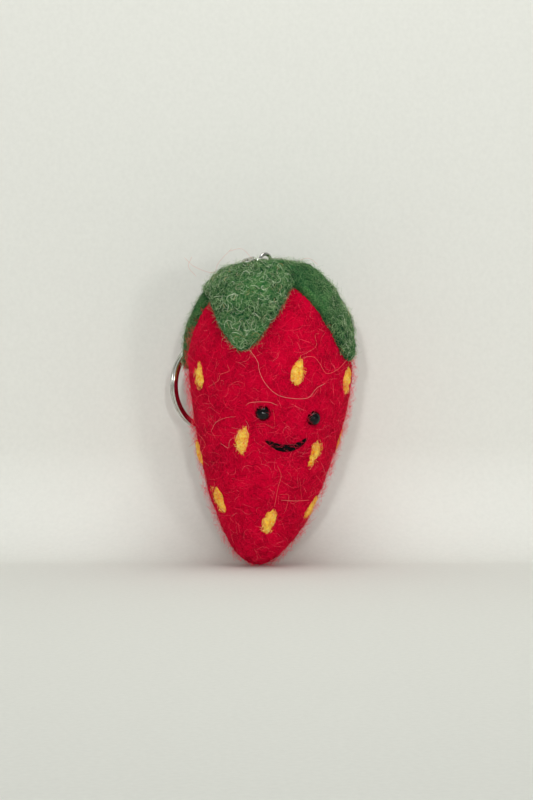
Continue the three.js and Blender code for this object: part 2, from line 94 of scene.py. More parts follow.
def wool(azimuth, angle, offset=0.0):
    """Points on the wool, from azimuths in degrees and outline angles in radians."""
    azimuth, angle, offset = np.broadcast_arrays(*np.atleast_1d(azimuth, angle, offset))
    limit, step = math.pi / 2, 0.002
    radius, height = outline(angle)
    r0, z0 = outline(np.maximum(angle - step, -limit))
    r1, z1 = outline(np.minimum(angle + step, limit))
    long = np.hypot(r1 - r0, z1 - z0)
    radius = np.maximum(radius + offset * (z1 - z0) / long, 0)
    height = height - offset * (r1 - r0) / long
    turn = np.radians(azimuth)
    x, y, z = radius * np.sin(turn), -radius * np.cos(turn) * BODY_DEPTH / BODY_WIDTH, height
    raised = np.maximum(z - WIDEST_HEIGHT, 0) / (BODY_HEIGHT - WIDEST_HEIGHT)
    out = outward_at(CHAIN_AZIMUTH)
    slope = CROWN_SLOPE * (x * out[0] + y * out[1]) * raised**2
    x = x + lean_at(z)
    away = np.hypot(x - SCREW_PLACE[0], y - SCREW_PLACE[1]) / DIMPLE_RADIUS
    away = np.clip(away, 0, 1)
    dimple = DIMPLE_DEPTH * (1 - away * away * (3 - 2 * away))
    return np.stack([x, y, z - np.where(raised > 0, slope + dimple, 0)], -1)


def angle_at(height):
    """Outline angle whose ring lies at a height."""
    rise = np.atleast_1d(height) - WIDEST_HEIGHT
    reach = np.where(rise > 0, BODY_HEIGHT - WIDEST_HEIGHT, WIDEST_HEIGHT)
    along = np.where(rise > 0, CROWN_SHAPE[1], BELLY_SHAPE[1])
    return np.sign(rise) * np.arcsin(np.clip(np.abs(rise) / reach, 0, 1) ** (along / 2))


def even_angles(count):
    """Outline angles evenly spaced along the outline, from the tip to the crown."""
    fine = np.linspace(-math.pi / 2, math.pi / 2, 4000)
    radius, height = outline(fine)
    run = np.concatenate([[0], np.cumsum(np.hypot(np.diff(radius), np.diff(height)))])
    return np.interp(np.linspace(0, run[-1], count), run, fine)


def unit(v):
    """Vectors scaled to length 1."""
    return v / np.maximum(np.linalg.norm(v, axis=-1, keepdims=True), 1e-12)


# ---- making pieces ----


def piece(name, points, faces, material, slot=None, body="strawberry", uv=None):
    """A mesh piece from points in mm and faces. uv is one pair per point."""
    faces = faces if isinstance(faces, list) else faces.tolist()
    mesh = bpy.data.meshes.new(name)
    mesh.from_pydata((np.asarray(points) * MM).tolist(), [], faces)
    mesh.validate()
    mesh.shade_smooth()
    if uv is not None:
        layer = mesh.uv_layers.new(name="OFBake")
        corner = np.zeros(len(mesh.loops), np.int32)
        mesh.loops.foreach_get("vertex_index", corner)
        layer.uv.foreach_set("vector", np.asarray(uv, np.float32)[corner].ravel())
    obj = bpy.data.objects.new(name, mesh)
    bpy.context.scene.collection.objects.link(obj)
    obj.data.materials.append(material)
    if body:
        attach(obj, body)
    return obj


def grid_faces(rows, columns, closed):
    """Quads of a grid of rows, each a ring of columns if closed."""
    i, j = np.meshgrid(np.arange(rows - 1), np.arange(columns - (0 if closed else 1)), indexing="ij")
    k = (j + 1) % columns
    quads = np.stack([i * columns + j, i * columns + k, (i + 1) * columns + k, (i + 1) * columns + j], -1)
    return quads.reshape(-1, 4).tolist()


def tube(path, radii, sides, capped=True):
    """Points and faces of a round tube along a path, with a radius at each point."""
    path, radii = np.asarray(path, float), np.broadcast_to(radii, len(path))
    ahead = unit(np.gradient(path, axis=0))
    side = unit(np.cross(ahead[0], [0.31, 0.52, 0.79]))
    rows = []
    for p, t, r in zip(path, ahead, radii):
        side = unit(side - t * (side @ t))
        turn = np.linspace(0, 2 * math.pi, sides, endpoint=False)[:, None]
        rows.append(p + r * (np.cos(turn) * side + np.sin(turn) * np.cross(t, side)))
    points = np.concatenate(rows)
    faces = [q[::-1] for q in grid_faces(len(path), sides, True)]
    if capped:
        points = np.concatenate([points, path[:1], path[-1:]])
        last, count = (len(path) - 1) * sides, len(points)
        for s in range(sides):
            n = (s + 1) % sides
            faces.append([s, n, count - 2])
            faces.append([last + n, last + s, count - 1])
    return points, faces


def joined(parts):
    """One set of points and faces from several."""
    points, faces, base = [], [], 0
    for p, f in parts:
        points.append(p)
        faces += [[i + base for i in face] for face in f]
        base += len(p)
    return np.concatenate(points), faces


def measured(name):
    """Centre, axes (longest first) and sizes along them of a CAD node, in mm."""
    mesh = nodes[name].data
    points = np.zeros(len(mesh.vertices) * 3)
    mesh.vertices.foreach_get("co", points)
    points = np.unique((points.reshape(-1, 3) / MM).round(3), axis=0)
    middle = points.mean(0)
    axes = np.linalg.svd(points - middle, full_matrices=False)[2]
    along = (points - middle) @ axes.T
    low, high = along.min(0), along.max(0)
    order = np.argsort(low - high)
    return middle + (low + high) / 2 @ axes, axes[order], (high - low)[order]


# ---- materials ----


class Shader:
    """A node-based material; add() makes a node and links or sets its inputs."""

    def __init__(self, name):
        self.material = bpy.data.materials.new(name)
        self.material.use_nodes = True
        self.tree = self.material.node_tree
        self.surface = self.tree.nodes["Principled BSDF"]

    def add(self, kind, inputs=(), **settings):
        made = self.tree.nodes.new("ShaderNode" + kind)
        for key, value in settings.items():
            setattr(made, key, value)
        self.feed(made, inputs)
        return made

    def feed(self, made, inputs):
        for key, value in dict(inputs).items():
            if isinstance(value, bpy.types.NodeSocket):
                self.tree.links.new(value, made.inputs[key])
            else:
                made.inputs[key].default_value = value

    def math(self, operation, a, b):
        return self.add("Math", {0: a, 1: b}, operation=operation).outputs[0]

    def coordinates(self):
        """Object coordinates in mm."""
        place = self.add("TexCoord").outputs["Object"]
        return self.add("Mapping", {"Vector": place, "Scale": (1 / MM,) * 3}).outputs[0]

    def noise(self, vector, scale, detail=2.0, rough=0.5, output="Fac"):
        inputs = {"Vector": vector, "Scale": scale, "Detail": detail, "Roughness": rough}
        return self.add("TexNoise", inputs).outputs[output]

    def warped(self, vector, scale, amount):
        """Coordinates moved by up to half the amount, in mm, along each axis."""
        wander = self.noise(vector, scale, 2.0, output="Color")
        wander = self.add("VectorMath", {0: wander, 1: (0.5,) * 3}, operation="SUBTRACT").outputs[0]
        wander = self.add("VectorMath", {0: wander, "Scale": amount}, operation="SCALE").outputs[0]
        return self.add("VectorMath", {0: vector, 1: wander}, operation="ADD").outputs[0]

    def strands(self, vector, scale, count, width):
        """Thin wandering lines, 1 on a line and 0 off it."""
        field = self.math("MULTIPLY", self.noise(vector, scale, 1.0), count)
        field = self.math("PINGPONG", field, 1.0)
        inputs = {"Value": field, "From Min": 0.0, "From Max": width, "To Min": 1.0, "To Max": 0.0}
        return self.add("MapRange", inputs, clamp=True).outputs[0]

    def ramp(self, value, stops):
        made = self.add("ValToRGB", {"Fac": value})
        ramp = made.color_ramp
        while len(ramp.elements) < len(stops):
            ramp.elements.new(0.5)
        for element, (place, colour) in zip(ramp.elements, stops):
            element.position, element.color = place, (*colour, 1.0)
        return made.outputs[0]

    def mix(self, share, a, b):
        made = self.add("Mix", data_type="RGBA")
        for socket, value in ((0, share), (6, a), (7, b)):
            if isinstance(value, bpy.types.NodeSocket):
                self.tree.links.new(value, made.inputs[socket])
            else:
                made.inputs[socket].default_value = value if socket == 0 else (*value, 1.0)
        return made.outputs[2]

    def bump(self, height, strength, depth_mm):
        inputs = {"Height": height, "Strength": strength, "Distance": depth_mm * MM}
        return self.add("Bump", inputs).outputs[0]

    def done(self, **values):
        """The material, with these inputs of its surface set or linked."""
        self.feed(self.surface, {key.replace("_", " "): value for key, value in values.items()})
        return self.material


def felt(name, dark, middle, light, strand, patch=0.16, sheen=(1, 1, 1), lines=0.5):
    """Needled wool: matted strands over patches that the needle pressed more or less, with painted shade in
    the pits.
    """
    s = Shader(name)
    mm = s.coordinates()
    loose = s.warped(mm, 0.7, 2.2)
    one = s.strands(loose, 0.62, 9.0, 0.3)
    two = s.strands(s.warped(mm, 1.3, 1.6), 0.95, 8.0, 0.35)
    matted = s.math("MAXIMUM", one, s.math("MULTIPLY", two, 0.8))
    patches = s.noise(mm, patch, 3.0, 0.6)
    pits = s.noise(mm, 1.4, 3.0, 0.65)
    depth = s.math("ADD", s.math("MULTIPLY", patches, 0.55), s.math("MULTIPLY", pits, 0.45))
    # the ground is darker where the pits are low, as in the bump: painted shade; the large patches are random
    # tone
    ground = s.ramp(depth, [(0.4, dark), (0.52, middle), (0.68, light)])
    colour = s.mix(s.math("MULTIPLY", matted, lines), ground, strand)
    height = s.math("ADD", s.math("MULTIPLY", matted, 0.6), pits)
    rough = s.add("MapRange", {"Value": pits, "To Min": 0.8, "To Max": 1.0}).outputs[0]
    return s.done(
        Base_Color=colour,
        Roughness=rough,
        Normal=s.bump(height, 0.7, 0.35),
        Sheen_Weight=0.25,
        Sheen_Roughness=0.5,
        Sheen_Tint=(*sheen, 1.0),
        Specular_IOR_Level=0.03,
    )


def strand_wool(name, stops):
    """Loose strands: each keeps one colour, which its first UV coordinate picks."""
    s = Shader(name)
    uv = s.add("UVMap", uv_map="OFBake").outputs[0]
    across = s.add("SeparateXYZ", {0: uv}).outputs[0]
    return s.done(Base_Color=s.ramp(across, stops), Roughness=0.8, Specular_IOR_Level=0.06)


def linear(r, g, b):
    """Linear colour of an sRGB one, 0 to 255."""
    shares = (r / 255, g / 255, b / 255)
    return tuple(c / 12.92 if c <= 0.04045 else ((c + 0.055) / 1.055) ** 2.4 for c in shares)


red_wool = felt(
    "red_wool", linear(160, 0, 34), linear(202, 0, 46), linear(220, 0, 52), linear(236, 8, 62),
    sheen=(1.0, 0.02, 0.08), lines=0.4,
)
green_wool = felt(
    "green_wool", linear(4, 32, 22), linear(30, 80, 44), linear(64, 120, 60), linear(128, 164, 104),
    sheen=(0.3, 0.5, 0.25), lines=0.5,
)
yellow_wool = felt(
    "yellow_wool", linear(240, 148, 20), linear(255, 208, 72), linear(255, 226, 104), linear(255, 238, 140),
    patch=0.5, sheen=(1.0, 0.8, 0.3),
)
core_wool = felt(
    "core_wool", linear(188, 176, 152), linear(226, 217, 200), linear(240, 234, 222), linear(250, 246, 238),
    patch=0.12,
)
red_strands = strand_wool("red_strands", [
    (0.0, linear(128, 0, 26)), (0.3, linear(196, 0, 42)), (0.7, linear(226, 0, 54)),
    (0.93, linear(248, 34, 76)), (1.0, linear(252, 120, 124)),
])
green_strands = strand_wool("green_strands", [
    (0.0, linear(12, 48, 34)), (0.3, linear(52, 96, 54)), (0.6, linear(98, 138, 82)),
    (0.85, linear(156, 182, 132)), (0.965, linear(220, 230, 200)), (1.0, linear(170, 120, 50)),
])
yellow_strands = strand_wool("yellow_strands", [
    (0.0, linear(244, 152, 32)), (0.4, linear(255, 208, 78)), (0.8, linear(255, 230, 120)),
    (1.0, linear(255, 236, 172)),
])
stray_strands = strand_wool("stray_strands", [
    (0.0, linear(244, 70, 84)), (0.5, linear(250, 124, 112)), (0.8, linear(240, 176, 160)),
    (1.0, linear(150, 70, 36)),
])


def bead_black():
    s = Shader("bead_black")
    mm = s.coordinates()
    colour = s.ramp(s.noise(mm, 0.8, 2.0), [(0.3, linear(4, 4, 5)), (0.7, linear(10, 9, 11))])
    rough = s.add("MapRange", {"Value": s.noise(mm, 3.0, 3.0), "To Min": 0.05, "To Max": 0.1}).outputs[0]
    return s.done(Base_Color=colour, Roughness=rough, IOR=1.5, Specular_IOR_Level=0.24)


def thread_black():
    s = Shader("thread_black")
    mm = s.coordinates()
    twist = s.strands(s.warped(mm, 2.0, 0.5), 2.4, 6.0, 0.4)
    colour = s.mix(twist, linear(8, 8, 9), linear(22, 21, 24))
    return s.done(Base_Color=colour, Roughness=0.8, Normal=s.bump(twist, 0.5, 0.1), Specular_IOR_Level=0.06)


def plated_steel():
    s = Shader("plated_steel")
    mm = s.coordinates()
    wear = s.noise(mm, 0.9, 4.0, 0.6)
    colour = s.ramp(wear, [
        (0.35, linear(176, 172, 164)), (0.6, linear(206, 205, 200)), (0.8, linear(220, 219, 214)),
    ])
    rough = s.add("MapRange", {"Value": s.noise(mm, 2.6, 4.0), "To Min": 0.1, "To Max": 0.28}).outputs[0]
    scratch = s.noise(mm, 7.0, 3.0)
    return s.done(Base_Color=colour, Metallic=1.0, Roughness=rough, Normal=s.bump(scratch, 0.12, 0.02))


bead_material, thread_material, steel = bead_black(), thread_black(), plated_steel()

# ---- body ----


def bumpy(points, normals, seed, layers):
    """Points moved along their normals by layers of (wavelength, amplitude)."""
    moved = points.copy()
    for k, (wave, amount) in enumerate(layers):
        shift = Vector((seed * 17.3 + k * 5.1, seed * 3.7, k * 9.2))
        rise = np.array([noise.noise(Vector(p) / wave + shift) for p in points])
        moved += normals * (amount * rise)[:, None]
    return moved


EYES = {}  # each bead's centre, outward direction and diameter
for name in ("bead_eye_left", "bead_eye_right"):
    centre, axes, sizes = measured(name)
    out = axes[0] * np.sign(axes[0] @ (centre - np.array([AXIS_LEAN, 0, centre[2]])))
    EYES[name] = (centre + out * (sizes[0] - sizes[1]) / 2, out, sizes[1])

RINGS, SEGMENTS = 236, 300
BODY_LUMPS = [(9.0, 0.5), (3.2, 0.22), (1.1, 0.13)]
EYE_REACH = 6.0  # wool this near a bead is pinched up round it and pressed in under it


def body_grid(offset=0.0):
    angles = even_angles(RINGS + 2)[1:-1]
    azimuths = np.arange(SEGMENTS) * 360 / SEGMENTS
    return wool(np.tile(azimuths, RINGS), np.repeat(angles, SEGMENTS), offset)


body_points = body_grid()
body_normals = unit(body_grid(0.5) - body_points)
shaped = bumpy(body_points, body_normals, 1, BODY_LUMPS)
for place, out, size in EYES.values():
    along_out = (body_points - place) @ out[:, None] * out
    away = np.linalg.norm(body_points - along_out - place, axis=1) / (size / 2)
    pinched = 0.42 * np.exp(-(((away - 1.25) / 0.24) ** 2)) - 1.0 * np.exp(-((away / 1.02) ** 8))
    near = np.linalg.norm(body_points - place, axis=1) < EYE_REACH
    shaped += body_normals * (pinched * near)[:, None]
poles = np.concatenate([wool(0, -math.pi / 2), wool(0, math.pi / 2)])
points = np.concatenate([shaped, poles])
faces = grid_faces(RINGS, SEGMENTS, True)
tip, crown, top_row = len(points) - 2, len(points) - 1, (RINGS - 1) * SEGMENTS
for j in range(SEGMENTS):
    k = (j + 1) % SEGMENTS
    faces.append([tip, k, j])
    faces.append([crown, top_row + j, top_row + k])
body = piece("wool_body", points, faces, red_wool, "red_wool")
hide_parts("red_wool_skin")

# ---- calyx ----


def felted_copy(source, voxel, layers, seed):
    """Points and faces of a CAD node's shape, remade as an even skin of felt."""
    obj = bpy.data.objects.new("felted", nodes[source].data.copy())
    bpy.context.scene.collection.objects.link(obj)
    remesh = {"mode": "VOXEL", "voxel_size": voxel * MM}
    for kind, settings in (("REMESH", remesh), ("SMOOTH", {"iterations": 9})):
        made = obj.modifiers.new(kind, kind)
        for key, value in settings.items():
            setattr(made, key, value)
    bpy.context.view_layer.update()
    mesh = bpy.data.meshes.new_from_object(obj.evaluated_get(bpy.context.evaluated_depsgraph_get()))
    bpy.data.objects.remove(obj)
    points, normals = np.zeros(len(mesh.vertices) * 3), np.zeros(len(mesh.vertices) * 3)
    mesh.vertices.foreach_get("co", points)
    mesh.vertices.foreach_get("normal", normals)
    points, normals = points.reshape(-1, 3) / MM, normals.reshape(-1, 3)
    faces = [tuple(p.vertices) for p in mesh.polygons]
    return bumpy(points, normals, seed, layers), faces


CALYX_VOXEL, CALYX_LUMPS = 0.42, [(7.0, 0.5), (2.4, 0.3), (0.9, 0.16)]
FRONT_EDGES = (-68.0, 4.5)  # azimuths of the front lobe's two edges
EDGE_TURN, EDGE_TURN_HEIGHT = 6.2, 69.0  # degrees per mm that its left edge turns back above a height
EDGE_WIDTH = 0.45
LOBE_START, LOBE_START_WIDTH = 10.0, 3.0  # distance from the axis at which the lobes part
FRONT_RAISED, SIDES_PRESSED, CROWN_PRESSED = 0.5, 1.15, 1.35
# how much painted shade darkens the green strands beside the front lobe, and over how many mm it fades
PAINTED_SHADE, PAINTED_SHADE_WIDTH = 0.65, 9.0


def around(at):
    """Azimuths in degrees of points, and their distances from the middle of the crown."""
    azimuths = np.degrees(np.arctan2(at[:, 0] - lean_at(at[:, 2]), -at[:, 1]))
    return azimuths, np.hypot(at[:, 0] - AXIS_LEAN, at[:, 1])


def inside_front(at):
    """How far inside the front lobe's edges points are, in mm, and 1 where the lobes have parted."""
    azimuths, spread = around(at)
    left, right = FRONT_EDGES
    right_edge = np.radians(right - azimuths) * spread
    left_edge = np.radians(azimuths - left + EDGE_TURN * np.maximum(at[:, 2] - EDGE_TURN_HEIGHT, 0)) * spread
    return np.minimum(left_edge, right_edge), np.clip((spread - LOBE_START) / LOBE_START_WIDTH, 0, 1)


def painted_shade_keep(at):
    """Share of their tone that strands keep: beside the front lobe it is lowered, which paints shade on the
    felt there.
    """
    inside, parted = inside_front(at)
    beside = np.exp(-((np.maximum(-inside, 0) / PAINTED_SHADE_WIDTH) ** 2)) * (inside < 0)
    return 1 - PAINTED_SHADE * beside * parted


calyx_points, calyx_faces = felted_copy("felt_calyx", CALYX_VOXEL, CALYX_LUMPS, 2)
# the front lobe lies over its neighbours, which the needle has pressed lower, as it has the crown
inside, parted = inside_front(calyx_points)
azimuths, spread = around(calyx_points)
on_front = np.clip(inside / EDGE_WIDTH, 0, 1) * parted
crown_share = 1 - np.clip((spread - 4) / 10, 0, 1)
pressed = CROWN_PRESSED * crown_share + SIDES_PRESSED * (1 - on_front) * (1 - crown_share)
sideways = 1.6 * np.clip(spread / 14, 0, 1) ** 2
turn = np.radians(azimuths)
outward = np.stack([sideways * np.sin(turn), -sideways * np.cos(turn), np.ones(len(turn))], 1)
calyx_points = calyx_points + unit(outward) * (FRONT_RAISED * on_front - pressed)[:, None]
calyx = piece("wool_calyx", calyx_points, calyx_faces, green_wool, "green_felt")
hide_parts("felt_calyx")

# ---- strands of wool on the surfaces ----

SURFACE_RADIUS = 23.0  # roughly, of the body, which the strands follow
CHAIN_REACH = 2.4  # wool this near the chain and ring is rubbed flat
CALYX_REACH = 1.5

def strands(
    name, places, normals, material, slot, seed, *,
    length, curl, lift, width, tones, rise=0.0, segments=4, ends_in=True, keep=1.0,
):
    """Curved ribbons of loose wool over a surface.

    length, curl (a radius), lift and width are (low, high) in mm, and tones the (low, high) place of the
    strands' colours in their material, times keep, which lowers them where shade is painted.
    Both ends of a strand go into the wool if ends_in, or else only its first end.
    """
    rng = np.random.default_rng(seed)
    count, steps = len(places), segments + 1
    u = np.linspace(-1, 1, steps)[None, :, None]
    pick = lambda low, high: rng.uniform(low, high, (count, 1, 1))
    tangent = unit(np.cross(normals, rng.normal(size=(count, 3))))
    side = np.cross(normals, tangent)
    half = pick(*length) / 2
    bend = rng.choice([-1.0, 1.0], (count, 1, 1)) / pick(*curl)
    turn = u * half * bend
    along, across = np.sin(turn) / bend, (1 - np.cos(turn)) / bend
    wave = 0.12 * half * np.sin(u * 2.6 + pick(0, 6.3))
    top, under = pick(*lift), pick(0.05, 0.3)
    arch = (1 - u * u) if ends_in else (u + 1) / 2
    drop = (along**2 + across**2) / (2 * SURFACE_RADIUS)
    height = -under * (1 if ends_in else 0) + top * arch + rise * (u + 1) * half - drop
    line = places[:, None] + along * tangent[:, None] + (across + wave) * side[:, None]
    line = line + height * normals[:, None]
    ahead = unit(np.gradient(line, axis=1))
    facing = unit(normals[:, None] + 0.9 * rng.normal(size=(count, 1, 3)) * (0.4 if ends_in else 1.0))
    spread = unit(np.cross(ahead, facing)) * (pick(*width) / 2) * (1 - 0.75 * np.abs(u) ** 3)
    points = np.stack([line - spread, line + spread], 2).reshape(-1, 3)
    row = np.arange(steps - 1)[None] * 2 + np.arange(count)[:, None] * steps * 2
    faces = np.stack([row, row + 1, row + 3, row + 2], -1).reshape(-1, 4)
    # a keep below 1 picks darker colours from the ramp: painted shade where a caller gives it
    tone = rng.uniform(*tones, (count, 1, 1)) * np.reshape(keep, (-1, 1, 1))
    tone = np.clip(tone + np.zeros((1, steps, 2)), 0.004, 0.996)
    down = np.broadcast_to(np.linspace(0.01, 0.99, steps)[None, :, None], (count, steps, 2))
    uv = np.stack([tone, down], -1).reshape(-1, 2)
    return piece(name, points, faces, material, slot, uv=uv)


def on_mesh(points, faces, count, seed, keep):
    """Random places and outward normals on a mesh, evenly by area times keep."""
    rng = np.random.default_rng(seed)
    triangles = np.array([(f[0], f[k], f[k + 1]) for f in faces for k in range(1, len(f) - 1)])
    a, b, c = (points[triangles[:, k]] for k in range(3))
    cross = np.cross(b - a, c - a)
    area = np.linalg.norm(cross, axis=1)
    area = area * keep((a + b + c) / 3)
    chosen = rng.choice(len(area), count, p=area / area.sum())
    s, t = rng.random((2, count, 1))
    s, t = np.where(s + t > 1, 1 - s, s), np.where(s + t > 1, 1 - t, t)
    a, b, c = a[chosen], b[chosen], c[chosen]
    return a + s * (b - a) + t * (c - a), unit(cross[chosen])


chain_nodes = [n for n in nodes if n.startswith(("eye_jump", "chain_link", "end_jump", "split_ring"))]
metal_points = np.concatenate([
    np.array([v.co[:] for v in nodes[n].data.vertices]) / MM for n in chain_nodes
])


def clear_of_chain(at):
    """0 under the chain and ring, where they have rubbed the wool flat, and 1 elsewhere."""
    near = np.full(len(at), 99.0)
    low, high = metal_points.min(0) - 4, metal_points.max(0) + 4
    inside = np.flatnonzero(((at > low) & (at < high)).all(1))
    sparse = metal_points[::7]
    for start in range(0, len(inside), 2000):
        some = inside[start : start + 2000]
        near[some] = np.linalg.norm(at[some][:, None] - sparse[None], axis=2).min(1)
    return (near > CHAIN_REACH).astype(float)


under_calyx = calyx_points[::9]


def bare_wool(at):
    """1 where the red wool is in the open."""
    covered = np.ones(len(at))
    high = np.flatnonzero(at[:, 2] > under_calyx[:, 2].min() - 1)
    for start in range(0, len(high), 2000):
        some = high[start : start + 2000]
        covered[some] = np.linalg.norm(at[some][:, None] - under_calyx[None], axis=2).min(1) > CALYX_REACH
    return covered * clear_of_chain(at)


places, normals = on_mesh(points, faces, 15000, 11, bare_wool)
strands(
    "red_matted_strands", places, normals, red_strands, "red_wool", 12,
    length=(1.6, 4.6), curl=(1.2, 6), lift=(0.1, 0.5), width=(0.06, 0.1), tones=(0.0, 0.85),
)
places, normals = on_mesh(points, faces, 9000, 13, bare_wool)
strands(
    "red_halo_strands", places, normals, red_strands, "red_wool", 14, rise=0.26, ends_in=False,
    length=(1.4, 5.0), curl=(1.0, 5), lift=(0.2, 1.2), width=(0.035, 0.06), tones=(0.6, 0.99),
)
# the green strands beside the front lobe get darker tones there: painted shade
places, normals = on_mesh(calyx_points, calyx_faces, 13000, 21, clear_of_chain)
strands(
    "green_matted_strands", places, normals, green_strands, "green_felt", 22, segments=7, keep=painted_shade_keep(places),
    length=(1.4, 4.6), curl=(0.4, 1.8), lift=(0.1, 0.55), width=(0.05, 0.11), tones=(0.05, 1.0),
)
# the halo strands beside the front lobe get the same painted shade
places, normals = on_mesh(calyx_points, calyx_faces, 6000, 23, clear_of_chain)
strands(
    "green_halo_strands", places, normals, green_strands, "green_felt", 24, rise=0.24, ends_in=False,
    keep=painted_shade_keep(places),
    length=(1.2, 4.0), curl=(0.8, 3), lift=(0.1, 0.8), width=(0.03, 0.06), tones=(0.55, 1.0),
)

# ---- seeds ----

SEED_STRANDS, SEED_LUMPS = 70, [(1.6, 0.4), (0.7, 0.3)]
seed_names = sorted(n for n in nodes if n.startswith("seed_"))
rows, columns = 15, 40
seed_places, seed_normals = [], []
for k, name in enumerate(seed_names):
    rng = np.random.default_rng(100 + k)
    centre, axes, sizes = measured(name)
    axis_point = np.array([lean_at(centre[2]), 0, centre[2]])
    out = axes[2] * np.sign(axes[2] @ (centre - axis_point))
    long = axes[0] * np.sign(axes[0][2])
    wide = np.cross(long, out)
    turn = np.linspace(0, 2 * math.pi, columns, endpoint=False)
    ragged = 1 + 0.09 * np.sin(turn * 3 + rng.uniform(0, 6)) + 0.07 * np.sin(turn * 7 + rng.uniform(0, 6))
    ragged += rng.uniform(-0.07, 0.07, columns)
    grid = []
    for r in np.linspace(0.02, 1, rows):
        share = 1 + (ragged - 1) * r**2
        u = r * share * np.sin(turn) * (1 - 0.22 * np.abs(np.cos(turn)) ** 3)
        v = r * share * np.cos(turn)
        drop = (1 - r**2.6) * 0.62 - 0.5 * r**8
        grid.append(
            centre + out * 0.12
            + np.outer(u * sizes[1] / 2, wide) + np.outer(v * sizes[0] / 2, long) + drop * out
        )
    seed_points = np.concatenate(grid + [[centre + out * 0.74]])
    seed_points = bumpy(seed_points, np.broadcast_to(out, seed_points.shape), 30 + k, SEED_LUMPS)
    seed_faces = grid_faces(rows, columns, True)
    seed_faces += [[len(seed_points) - 1, j, (j + 1) % columns] for j in range(columns)]
    seed_faces = [f[::-1] for f in seed_faces]
    made = piece(name.replace("seed", "wool_seed"), seed_points, seed_faces, yellow_wool, "yellow_wool")
    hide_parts(name)
    turn = rng.uniform(0, 2 * math.pi, SEED_STRANDS)
    reach = np.sqrt(rng.uniform(0, 1.0, SEED_STRANDS))
    seed_places.append(
        centre + out * 0.45 + np.outer(reach * np.sin(turn) * sizes[1] / 2, wide)
        + np.outer(reach * np.cos(turn) * sizes[0] / 2, long)
    )
    seed_normals.append(np.broadcast_to(out, (SEED_STRANDS, 3)))
places, normals = np.concatenate(seed_places), np.concatenate(seed_normals)
strands(
    "yellow_strands_on_seeds", places, normals, yellow_strands, "yellow_wool", 41, segments=6,
    length=(0.8, 2.1), curl=(0.4, 1.4), lift=(0.15, 0.6), width=(0.05, 0.09), tones=(0.0, 1.0),
)

# ---- eyes and mouth ----

BEAD_DEPTH = 0.94  # of a bead's width
STEM_RADIUS, STEM_LENGTH = 0.55, 3.2
rows, columns = 29, 48
for name, (place, out, size) in EYES.items():
    side = unit(np.cross(out, [0, 0, 1]))
    up = np.cross(side, out)
    turn = np.linspace(0, 2 * math.pi, columns, endpoint=False)
    ring = []
    for t in np.linspace(0.03, math.pi - 0.03, rows):
        radius = size / 2 * np.sin(t)
        depth = size / 2 * BEAD_DEPTH * np.cos(t)
        round_out = np.outer(radius * np.cos(turn), side) + np.outer(radius * np.sin(turn), up)
        ring.append(place + round_out + depth * out)
    pole = out * size * BEAD_DEPTH / 2
    bead_points = np.concatenate(ring + [[place + pole], [place - pole]])
    bead_faces = [f[::-1] for f in grid_faces(rows, columns, True)]
    first, last, base = len(bead_points) - 2, len(bead_points) - 1, (rows - 1) * columns
    for j in range(columns):
        k = (j + 1) % columns
        bead_faces += [[first, j, k], [last, base + k, base + j]]
    stem_depths = (size * 0.4, size / 2 + 1.5, size / 2 + STEM_LENGTH)
    stem = tube([place - out * depth for depth in stem_depths], STEM_RADIUS, 16)
    whole = joined([(bead_points, bead_faces), stem])
    made = piece(name.replace("bead_eye", "glass_bead_eye"), *whole, bead_material, "black_bead")
    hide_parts(name)

MOUTH_PLIES, PLY_TURNS = 6, 1.1
PLY_SPREAD, PLY_RADIUS, PLY_END_RADIUS = 0.64, 0.29, 0.08
share = np.linspace(0, 1, 90)
height = MOUTH_HEIGHT - MOUTH_DROP * (1 - (2 * share - 1) ** 2)
# the ends go on past the CAD thread's, by 1 and 2 degrees, and down into the wool
azimuth = MOUTH_AZIMUTHS[0] - 1 + (MOUTH_AZIMUTHS[1] - MOUTH_AZIMUTHS[0] + 3) * share
mouth_line = wool(azimuth, angle_at(height), 0.3)
mouth_out = unit(wool(azimuth, angle_at(height), 1.0) - mouth_line)
mouth_side = np.cross(unit(np.gradient(mouth_line, axis=0)), mouth_out)
plies = []
taper = np.sin(math.pi * share) ** 0.6
sunk = 0.75 * (1 - np.sin(math.pi * share) ** 0.3)
for k in range(MOUTH_PLIES):
    turn = 2 * math.pi * k / MOUTH_PLIES + share * PLY_TURNS * 2 * math.pi
    twist = np.cos(turn)[:, None] * mouth_side + 0.6 * np.sin(turn)[:, None] * mouth_out
    line = mouth_line + (PLY_SPREAD * taper)[:, None] * twist - mouth_out * sunk[:, None]
    plies.append(tube(line, PLY_END_RADIUS + PLY_RADIUS * taper, 10))
mouth = piece("mouth_strands", *joined(plies), thread_material, "black_thread")
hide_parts("mouth_thread")

# ---- chain, screw eye and split ring ----


SLIT, LOOP_STEPS = 0.05, 72


def loop_path(length, width, wire):
    """Centreline of an oval loop in its own plane, cut by a slit where its ends meet."""
    bend, half = (width - wire) / 2, (length - width) / 2
    total = 4 * half + 2 * math.pi * bend
    points = []
    for s in np.linspace(SLIT / 2, total - SLIT / 2, LOOP_STEPS):
        if s < half:
            points.append((-s, bend))
        elif s < half + math.pi * bend:
            t = (s - half) / bend
            points.append((-half - bend * math.sin(t), bend * math.cos(t)))
        elif s < 3 * half + math.pi * bend:
            points.append((s - 2 * half - math.pi * bend, -bend))
        elif s < 3 * half + 2 * math.pi * bend:
            t = (s - 3 * half - math.pi * bend) / bend
            points.append((half + bend * math.sin(t), -bend * math.cos(t)))
        else:
            points.append((total - s, bend))
    return np.array(points)


for name in chain_nodes:
    if name == "split_ring":
        continue
    centre, axes, sizes = measured(name)
    flat = loop_path(sizes[0], sizes[1], sizes[2])
    line = centre + flat[:, :1] * axes[0] + flat[:, 1:] * axes[1]
    ends = np.full(len(line), sizes[2] / 2)
    ends[[0, -1]] *= 0.86
    wire_name = name.replace("chain_link", "wire_link").replace("jump_ring", "wire_ring")
    made = piece(wire_name, *tube(line, ends, 16), steel, "steel_wire", body=name)
    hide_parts(name)

